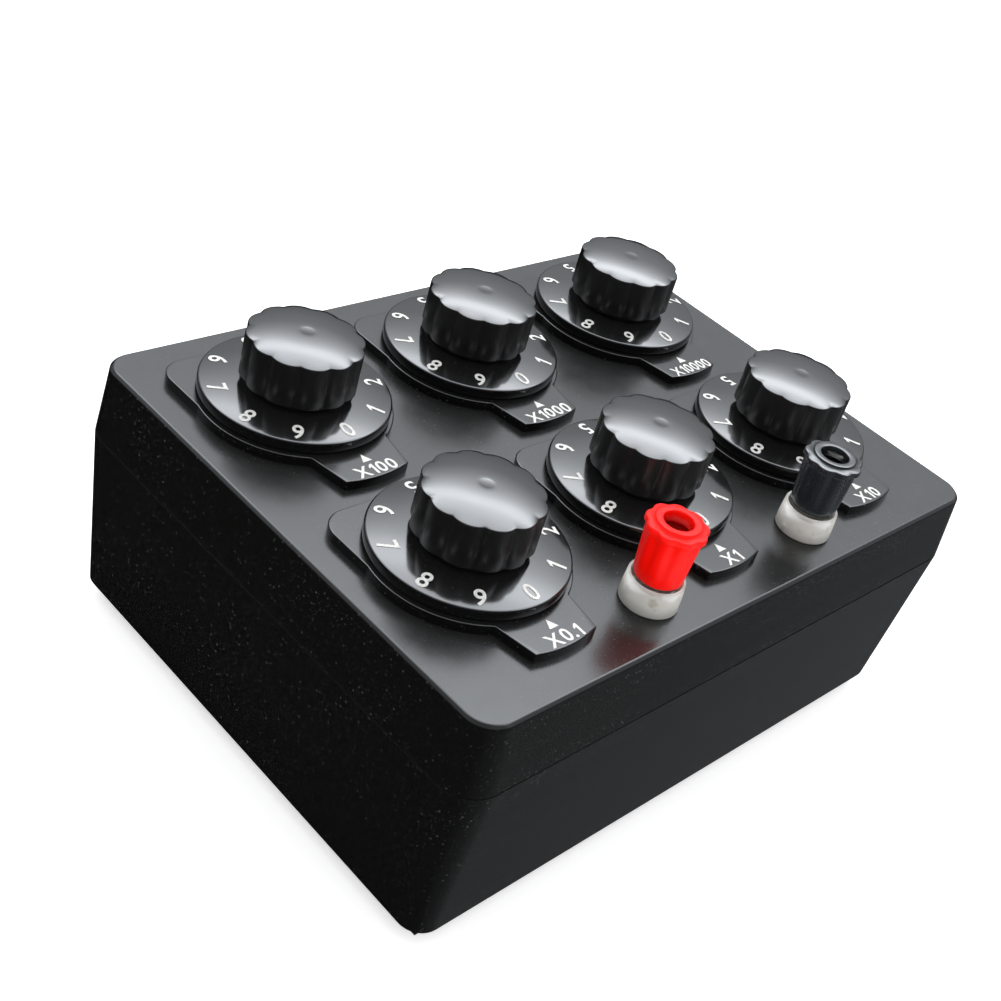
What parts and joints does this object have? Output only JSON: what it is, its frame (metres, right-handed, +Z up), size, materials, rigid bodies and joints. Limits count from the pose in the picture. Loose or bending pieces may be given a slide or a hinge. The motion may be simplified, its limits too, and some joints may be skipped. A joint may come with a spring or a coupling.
{
  "type": "resistance decade box",
  "caption": "Black moulded resistance decade box: numbered dials with lobed knobs on index plates, and red and black binding posts with clear collars.",
  "frame": {"origin": "middle of the box's footprint, on the surface that it stands on", "axes": "+X along the front edge to the right as seen by the user, +Y from the front edge with the posts to the back, +Z up, out of the panel"},
  "size_m": [0.1594, 0.1228, 0.0797],
  "materials": {
    "case_plastic": "black moulded plastic, polished",
    "screw_steel": "zinc plated steel",
    "foot_rubber": "matt black rubber",
    "plate_plastic": "glossy black plastic",
    "dial_plastic": "glossy black plastic with white filled figures",
    "knob_plastic": "glossy black plastic",
    "spindle_steel": "turned steel",
    "wiper_metal": "silvered bronze on a moulded hub",
    "bracket_steel": "nickel plated steel",
    "nut_nickel": "nickel plate",
    "spring_steel": "spring steel",
    "deck_board": "brown laminated board",
    "contact_silver": "silver plate",
    "card_lacquer": "lacquered winding on card",
    "bus_copper": "tinned copper strip",
    "collar_clear": "clear moulded plastic",
    "post_nickel": "nickel plate",
    "tag_tin": "tinned brass",
    "post_nut_brass": "plain brass",
    "washer_nickel": "nickel plate",
    "cap_red": "red moulded plastic",
    "cap_black": "black moulded plastic"
  },
  "bodies": {
    "case": {"upper_cover": "case_plastic", "lower_base": "case_plastic", "case_screws": "screw_steel", "rubber_feet": "foot_rubber", "index_plate_x0_1": "plate_plastic", "index_plate_x1": "plate_plastic", "index_plate_x10": "plate_plastic", "index_plate_x100": "plate_plastic", "index_plate_x1000": "plate_plastic", "index_plate_x10000": "plate_plastic", "switch_frames": "bracket_steel", "switch_nuts": "nut_nickel", "detent_springs": "spring_steel", "switch_decks": "deck_board", "contacts": "contact_silver", "resistor_cards": "card_lacquer", "bus_strips": "bus_copper", "post_collars": "collar_clear", "post_studs": "post_nickel", "post_tags": "tag_tin", "post_nuts": "post_nut_brass"},
    "selector_x0_1": {"knob_x0_1": "knob_plastic", "dial_x0_1": "dial_plastic", "spindle_x0_1": "spindle_steel", "wiper_x0_1": "wiper_metal"},
    "selector_x1": {"knob_x1": "knob_plastic", "dial_x1": "dial_plastic", "spindle_x1": "spindle_steel", "wiper_x1": "wiper_metal"},
    "selector_x10": {"knob_x10": "knob_plastic", "dial_x10": "dial_plastic", "spindle_x10": "spindle_steel", "wiper_x10": "wiper_metal"},
    "selector_x100": {"knob_x100": "knob_plastic", "dial_x100": "dial_plastic", "spindle_x100": "spindle_steel", "wiper_x100": "wiper_metal"},
    "selector_x1000": {"knob_x1000": "knob_plastic", "dial_x1000": "dial_plastic", "spindle_x1000": "spindle_steel", "wiper_x1000": "wiper_metal"},
    "selector_x10000": {"knob_x10000": "knob_plastic", "dial_x10000": "dial_plastic", "spindle_x10000": "spindle_steel", "wiper_x10000": "wiper_metal"},
    "red_slider": {"red_clamp_washer": "washer_nickel"},
    "red_screw": {"red_cap": "cap_red"},
    "black_slider": {"black_clamp_washer": "washer_nickel"},
    "black_screw": {"black_cap": "cap_black"}
  },
  "joints": [
    {"name": "turn_x0_1", "type": "hinge", "parent": "case", "child": "selector_x0_1", "pos_m": [-0.0506, -0.0232, 0.0646], "axis": [0, 0, -1], "range_deg": [0, 324]},
    {"name": "turn_x1", "type": "hinge", "parent": "case", "child": "selector_x1", "pos_m": [-0.0011, -0.0232, 0.0646], "axis": [0, 0, -1], "range_deg": [0, 324]},
    {"name": "turn_x10", "type": "hinge", "parent": "case", "child": "selector_x10", "pos_m": [0.0484, -0.0232, 0.0646], "axis": [0, 0, -1], "range_deg": [0, 324]},
    {"name": "turn_x100", "type": "hinge", "parent": "case", "child": "selector_x100", "pos_m": [-0.0506, 0.0308, 0.0646], "axis": [0, 0, -1], "range_deg": [0, 324]},
    {"name": "turn_x1000", "type": "hinge", "parent": "case", "child": "selector_x1000", "pos_m": [-0.0011, 0.0308, 0.0646], "axis": [0, 0, -1], "range_deg": [0, 324]},
    {"name": "turn_x10000", "type": "hinge", "parent": "case", "child": "selector_x10000", "pos_m": [0.0484, 0.0308, 0.0646], "axis": [0, 0, -1], "range_deg": [0, 324]},
    {"name": "red_rise", "type": "slide", "parent": "case", "child": "red_slider", "axis": [0, 0, 1], "range_m": [0, 0.0045]},
    {"name": "red_turn", "type": "hinge", "parent": "red_slider", "child": "red_screw", "pos_m": [-0.025, -0.0486, 0.072], "axis": [0, 0, 1], "range_deg": [0, 2160]},
    {"name": "black_rise", "type": "slide", "parent": "case", "child": "black_slider", "axis": [0, 0, 1], "range_m": [0, 0.0045]},
    {"name": "black_turn", "type": "hinge", "parent": "black_slider", "child": "black_screw", "pos_m": [0.026, -0.0486, 0.072], "axis": [0, 0, 1], "range_deg": [0, 2160]}
  ],
  "couplings": [
    {"joint": "red_turn", "follows": "red_rise", "rad_per_m": 8377.6},
    {"joint": "black_turn", "follows": "black_rise", "rad_per_m": 8377.6}
  ]
}
